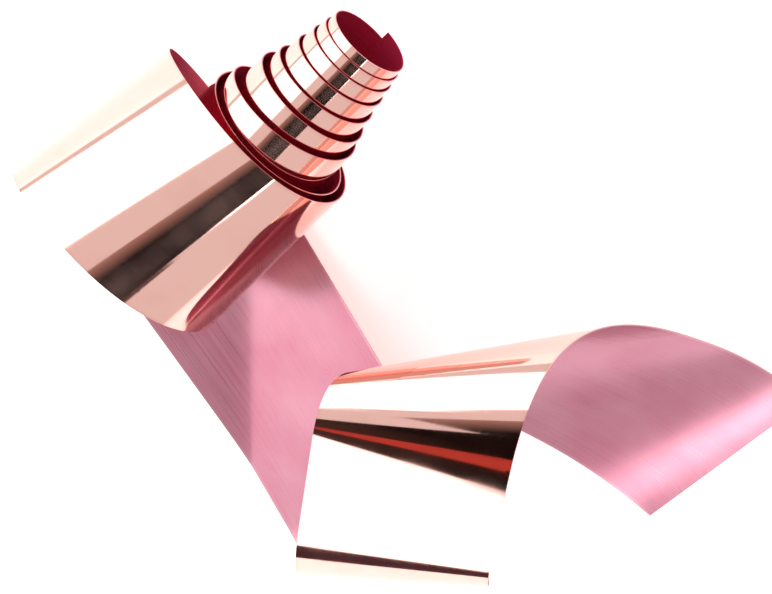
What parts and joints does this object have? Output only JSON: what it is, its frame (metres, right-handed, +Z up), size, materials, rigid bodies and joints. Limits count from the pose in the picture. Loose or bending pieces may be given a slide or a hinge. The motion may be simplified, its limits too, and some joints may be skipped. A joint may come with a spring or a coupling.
{
  "type": "copper foil tape roll",
  "caption": "Loosely wound roll of wide rose-copper foil tape on a pink liner, drawn out into a cone, with a free tail bent back over itself.",
  "frame": {"origin": "underside of the tail where it lies flat on the table, on the middle line of the strip", "axes": "+Z up from the table; the tail runs towards -Y; the roll is drawn out towards +X"},
  "size_m": [0.1335, 0.1653, 0.059],
  "materials": {
    "copper_foil": "mirror-bright rolled rose copper foil with faint rolling lines",
    "pink_liner": "satin metallic pink release liner with fine lengthwise lines"
  },
  "bodies": {
    "tail": {"tail_foil": "copper_foil", "tail_liner": "pink_liner"},
    "roll": {"outer_turn_foil": "copper_foil", "outer_turn_liner": "pink_liner"},
    "coil": {"middle_coil_foil": "copper_foil", "middle_coil_liner": "pink_liner"},
    "core": {"inner_tube_foil": "copper_foil", "inner_tube_liner": "pink_liner"},
    "bend": {"bottom_bend_foil": "copper_foil", "bottom_bend_liner": "pink_liner"},
    "panel": {"front_panel_foil": "copper_foil", "front_panel_liner": "pink_liner"},
    "crest": {"top_bend_foil": "copper_foil", "top_bend_liner": "pink_liner"},
    "flap": {"end_flap_foil": "copper_foil", "end_flap_liner": "pink_liner"}
  },
  "joints": [
    {"name": "roll_spring", "type": "hinge", "parent": "tail", "child": "roll", "pos_m": [0.00004, 0.02097, 0.00122], "axis": [0.7872, 0.6163, -0.0218], "range_deg": [-10, 15], "stiffness_Nm_per_rad": 0.3},
    {"name": "coil_draw", "type": "slide", "parent": "roll", "child": "coil", "axis": [0.9802, 0.1459, 0.1339], "range_m": [-0.006, 0.006], "stiffness_N_per_m": 60},
    {"name": "core_draw", "type": "slide", "parent": "coil", "child": "core", "axis": [0.9802, 0.1459, 0.1339], "range_m": [-0.006, 0.006], "stiffness_N_per_m": 60},
    {"name": "bend_spring", "type": "hinge", "parent": "tail", "child": "bend", "pos_m": [-0.00109, -0.06223, 0.00965], "axis": [0.9408, -0.221, 0.257], "range_deg": [-10, 12], "stiffness_Nm_per_rad": 0.3},
    {"name": "panel_spring", "type": "hinge", "parent": "bend", "child": "panel", "pos_m": [0.01146, -0.07156, 0.04086], "axis": [0.7475, -0.6425, 0.169], "range_deg": [-10, 12], "stiffness_Nm_per_rad": 0.3},
    {"name": "crest_spring", "type": "hinge", "parent": "panel", "child": "crest", "pos_m": [0.03278, -0.05413, 0.05273], "axis": [0.7596, -0.6281, 0.1685], "range_deg": [-10, 12], "stiffness_Nm_per_rad": 0.3},
    {"name": "flap_spring", "type": "hinge", "parent": "crest", "child": "flap", "pos_m": [0.0651, -0.0592, 0.02411], "axis": [0.8537, -0.4722, -0.2198], "range_deg": [-10, 12], "stiffness_Nm_per_rad": 0.3}
  ],
  "couplings": [
    {"joint": "core_draw", "follows": "coil_draw", "ratio": 1},
    {"joint": "panel_spring", "follows": "bend_spring", "ratio": 1},
    {"joint": "flap_spring", "follows": "crest_spring", "ratio": 1}
  ]
}
